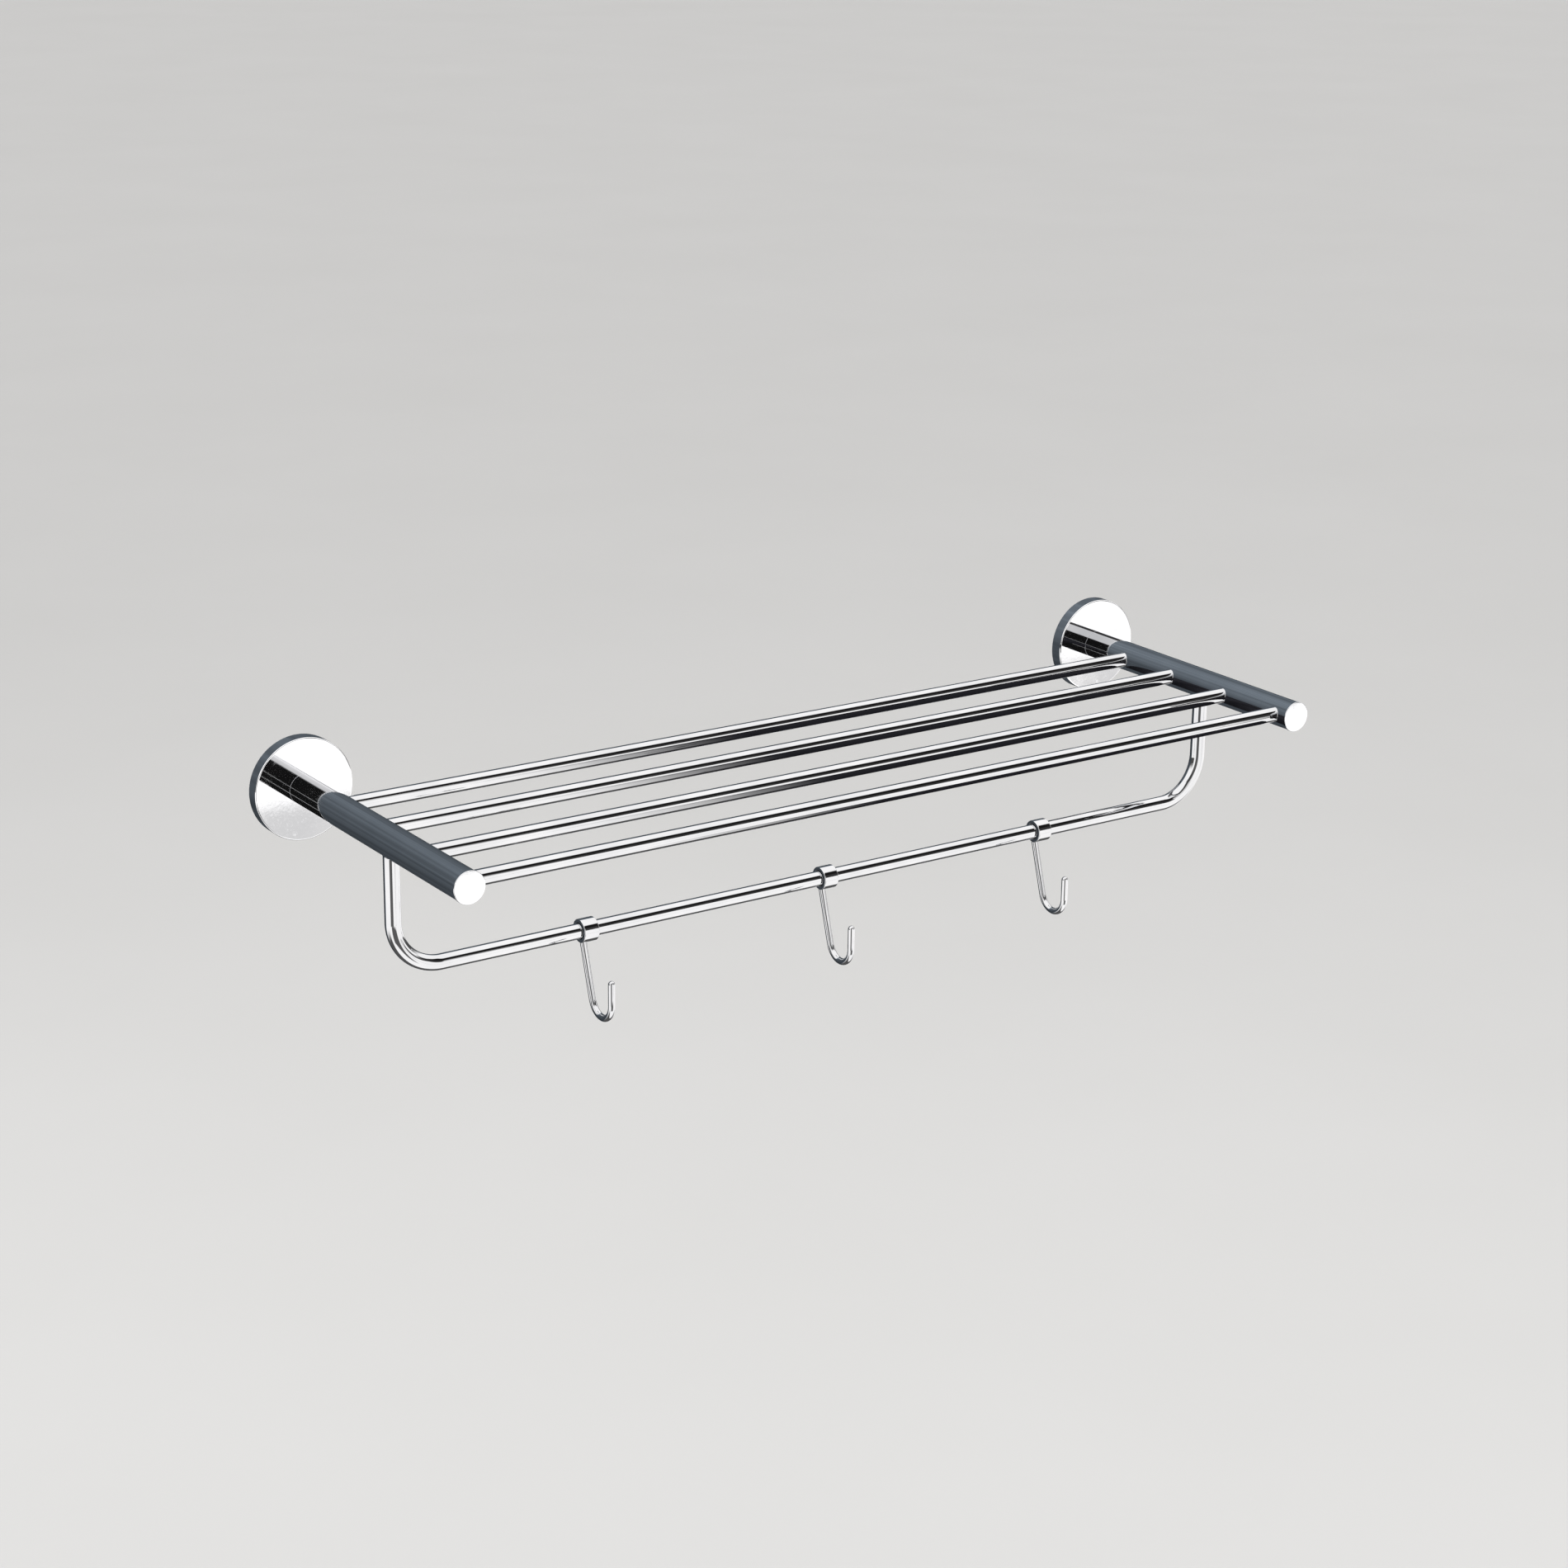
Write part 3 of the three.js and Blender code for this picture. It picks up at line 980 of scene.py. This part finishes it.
class Sky(Graph):
    """The world's node tree, with masks over the directions round the rack.

    Azimuth is 0 straight out from the wall and grows to the right. Every edge of a mask is soft,
    a (start, end) pair in degrees.
    """

    def __init__(self, world):
        super().__init__(world)
        self.direction = self.add("TexCoord").outputs["Generated"]
        split = self.add("SeparateXYZ")
        self.feed(split.inputs["Vector"], self.direction)
        self.x, self.y, self.z = split.outputs
        front = self.math("MULTIPLY", self.y, -1)
        self.azimuth = self.math("ARCTAN2", self.x, front)
        self.elevation = self.math("ARCSINE", self.z)
        self.slope = self.math("DIVIDE", self.z, self.math("MAXIMUM", front, 0.001))

    def above(self, value, start, end):
        return self.remapped(value, (start, end), (0, 1))

    def below(self, value, start, end):
        return self.remapped(value, (start, end), (1, 0))

    def east(self, start, end):
        return self.above(self.azimuth, math.radians(start), math.radians(end))

    def west(self, start, end):
        return self.below(self.azimuth, math.radians(start), math.radians(end))

    def over(self, start, end):
        return self.above(self.elevation, math.radians(start), math.radians(end))

    def under(self, start, end):
        return self.below(self.elevation, math.radians(start), math.radians(end))

    def all_of(self, first, *others):
        total = first
        for mask in others:
            total = self.math("MULTIPLY", total, mask)
        return total

    def any_of(self, first, *others):
        total = first
        for mask in others:
            total = self.math("MAXIMUM", total, mask)
        return total

    def less(self, level, mask, share=1.0):
        """The level, reduced by a share where the mask is 1."""
        return self.all_of(level, self.math("SUBTRACT", 1, self.math("MULTIPLY", mask, share)))

    def patch(self, left, right, bottom, top):
        return self.all_of(self.east(*left), self.west(*right), self.over(*bottom), self.under(*top))


def flags_for_mirrored_arms(sky):
    """What a polished arm shows where a flange mirrors it: dark below and to the left."""
    return sky.any_of(
        sky.patch(left=(-62, -54), right=(1, 9), bottom=(-2, 0), top=(33, 36)),
        sky.patch(left=(-62, -54), right=(1, 7), bottom=(-24, -22), top=(-2, 0)),
        sky.patch(left=(-60, -50), right=(16, 20), bottom=(-60, -50), top=(-24, -22)),
    )


def arch(sky):
    """The dark line along legs, bends and stems: the left side, foot, top and right side of an arch."""
    return sky.any_of(
        sky.patch(left=(-58, -52), right=(-20, -14), bottom=(-24, -22), top=(44, 50)),
        sky.patch(left=(-50, -40), right=(15, 20), bottom=(-46, -42), top=(-23, -21)),
        sky.patch(left=(-40, -34), right=(62, 70), bottom=(28, 32), top=(46, 52)),
        sky.patch(left=(40, 42), right=(52, 58), bottom=(-14, -12), top=(10, 12)),
    )


def tray(sky):
    """The thin line along rails and bar: a level strip in front of the rack, seen at one slope."""
    slope = sky.all_of(sky.above(sky.slope, -0.400, -0.397), sky.below(sky.slope, -0.369, -0.364))
    return sky.all_of(slope, sky.east(18, 19), sky.west(50, 51))


def studio_light(sky, wall, seen_twice):
    """How bright each direction is: a white tent, darker in places, open at the wall."""
    right_strip = sky.patch(left=(26, 30), right=(62, 70), bottom=(9, 12), top=(46, 52))
    upper_gap = sky.patch(left=(-60, -50), right=(24, 30), bottom=(4, 30), top=(46, 54))
    sides = sky.any_of(sky.east(72, 80), sky.west(-82, -74))
    horizon = sky.all_of(sky.over(-11, -9), sky.under(3, 22))
    ground = sky.under(-46, -25)
    darker = (
        (sky.all_of(flags_for_mirrored_arms(sky), seen_twice), 1),
        (sky.less(arch(sky), seen_twice), 0.9),
        (right_strip, 0.97),
        (tray(sky), 0.42),
        (upper_gap, 0.45),
        (sky.all_of(sides, horizon), 0.93),
        (sky.all_of(sides, ground), 0.92),
        (wall, 1),
    )
    level = TENT
    for mask, share in darker:
        level = sky.less(level, mask, share)
    return level


def wall_light(sky, wall):
    """The grey wall behind the rack: mottled, and lighter towards its top."""
    mottle = sky.noise(scale=5, detail=6, place=sky.direction)
    shade_of = sky.remapped(mottle, (0.3, 0.7), (0.075, 0.125))
    lift = sky.summed(sky.remapped(sky.z, (-0.5, 0.45), (0.55, 1.3)), sky.above(sky.z, 0.5, 0.68))
    return sky.all_of(wall, shade_of, lift)


def studio_world():
    """Chrome reflects a white tent and a grey wall; the camera itself sees a plain pale backdrop."""
    world = bpy.data.worlds.new("studio")
    bpy.context.scene.world = world
    sky = Sky(world)
    path = sky.add("LightPath").outputs
    seen_twice = sky.math("GREATER_THAN", path["Glossy Depth"], 1.5)
    wall = sky.above(sky.y, 0.58, 0.68)
    level = sky.summed(studio_light(sky, wall, seen_twice), wall_light(sky, wall), DARKEST)

    around = sky.nodes["Background"]
    sky.feed(around.inputs["Color"], sky.tinted(wall, TENT_COLOUR, WALL_COLOUR))
    sky.feed(around.inputs["Strength"], level)
    backdrop = sky.add("Background")
    sky.feed(backdrop.inputs["Color"], (*BACKDROP_COLOUR, 1))
    sky.feed(backdrop.inputs["Strength"], BACKDROP)
    seen = sky.add("MixShader")
    sky.feed(seen.inputs["Fac"], path["Is Camera Ray"])
    sky.feed(seen.inputs[1], around.outputs["Background"])
    sky.feed(seen.inputs[2], backdrop.outputs["Background"])
    sky.feed(sky.nodes["World Output"].inputs["Surface"], seen.outputs["Shader"])


def floor():
    """A plain pale floor, well below the rack and out of its reflections."""
    drop = 0.9
    bpy.ops.mesh.primitive_plane_add(size=60, location=(0, 0, low("hook_1_wire").z - drop))
    plane = bpy.context.object
    plane.name = "floor"
    surface = Surface("floor")
    tone = surface.speckle(scale=1.5, detail=4)
    surface.give("Base Color", surface.tinted(tone, (0.615, 0.615, 0.608), (0.65, 0.65, 0.645)))
    surface.give("Roughness", 0.9)
    surface.give("Specular IOR Level", 0.1)
    plane.data.materials.append(surface.material)
    plane.visible_glossy = False


def card():
    """A black card close under the rails that darkens their undersides, less towards the left.

    Only reflections show it, and only from above: the camera doesn't see it and it casts no shadow.
    """
    height = low("shelf_rail_4").z - 7 * MM
    left, right = -205 * MM, low("right_arm").x
    front, back = low("shelf_rail_4").y - 11 * MM, high("shelf_rail_1").y
    fade = 0.4  # share of the card's length, from the left, over which it turns from clear to black
    corners = [(left, front), (right, front), (right, back), (left, back)]
    mesh = bpy.data.meshes.new("card")
    mesh.from_pydata([(x, y, height) for x, y in corners], [], [(0, 1, 2, 3)])
    plane = bpy.data.objects.new("card", mesh)
    bpy.context.scene.collection.objects.link(plane)
    surface = Surface("card")
    surface.give("Base Color", (0.02, 0.02, 0.024, 1))
    surface.give("Roughness", 1)
    surface.give("Specular IOR Level", 0)
    along = surface.add("SeparateXYZ")
    surface.feed(along.inputs["Vector"], surface.add("TexCoord").outputs["Generated"])
    clear = surface.remapped(along.outputs["X"], (0, fade), (1, 0))
    underside = surface.add("NewGeometry").outputs["Backfacing"]
    mix = surface.add("MixShader")
    surface.feed(mix.inputs["Fac"], surface.math("MAXIMUM", clear, underside))
    surface.feed(mix.inputs[1], surface.shader.outputs["BSDF"])
    surface.feed(mix.inputs[2], surface.add("BsdfTransparent").outputs["BSDF"])
    surface.feed(surface.nodes["Material Output"].inputs["Surface"], mix.outputs["Shader"])
    plane.data.materials.append(surface.material)
    plane.visible_camera = False
    plane.visible_diffuse = False
    plane.visible_shadow = False


def softbox(name, location, aim, power):
    """A rectangular light for the dull surfaces; chrome doesn't show it."""
    light = bpy.data.lights.new(name, "AREA")
    light.shape = "RECTANGLE"
    light.size, light.size_y = 1.6, 1.12
    light.energy = power
    lamp = bpy.data.objects.new(name, light)
    lamp.location = location
    lamp.rotation_euler = (Vector(aim) - Vector(location)).to_track_quat("-Z", "Y").to_euler()
    lamp.visible_glossy = False
    bpy.context.scene.collection.objects.link(lamp)


VIEW = {"azimuth": -34.318, "elevation": 18.101, "roll": 0.718, "distance": 1.989, "lens": 73.77}
AIM = Vector((-0.0131, -0.0889, -0.0244))


def camera():
    """The photograph's viewing angle: from the left, above and in front."""
    azimuth, elevation, roll = (math.radians(VIEW[k]) for k in ("azimuth", "elevation", "roll"))
    right = Vector((math.cos(azimuth), math.sin(azimuth), 0))
    level_back = Vector((math.sin(azimuth), -math.cos(azimuth), 0))
    back = level_back * math.cos(elevation) + Z * math.sin(elevation)
    up = back.cross(right)
    data = bpy.data.cameras.new("camera")
    data.lens = VIEW["lens"]
    data.sensor_width = 36
    data.clip_end = 200
    cam = bpy.data.objects.new("camera", data)
    bpy.context.scene.collection.objects.link(cam)
    turn = Matrix((right, up, back)).transposed() @ Matrix.Rotation(roll, 3, "Z")
    cam.matrix_world = Matrix.Translation(AIM + back * VIEW["distance"]) @ turn.to_4x4()
    bpy.context.scene.camera = cam


# ---------------------------------------------------------------- everything

camera()
studio_world()
floor()
card()
softbox("key", location=(1.6, -1.4, 1.9), aim=(0, -0.1, 0), power=30)
softbox("back", location=(-1.1, 1.9, 1.2), aim=(0, 0, 0), power=14)

for side in SIDES:
    flange(side)
    arm(side)
    end_cap(side)
    arm_plug(side)
    arm_screw(side)
    wall_bracket(side)
    set_screw(side)
    for place in ("upper", "lower"):
        wall_screw(side, place)
        wall_plug(side, place)
    rail_brazes(side)
for rail in RAILS:
    shelf_rail(rail)
towel_bar()
for hook in HOOKS:
    hook_ring(hook)
    hook_liner(hook)
    hook_wire(hook)

bpy.context.scene.view_settings.view_transform = "Standard"
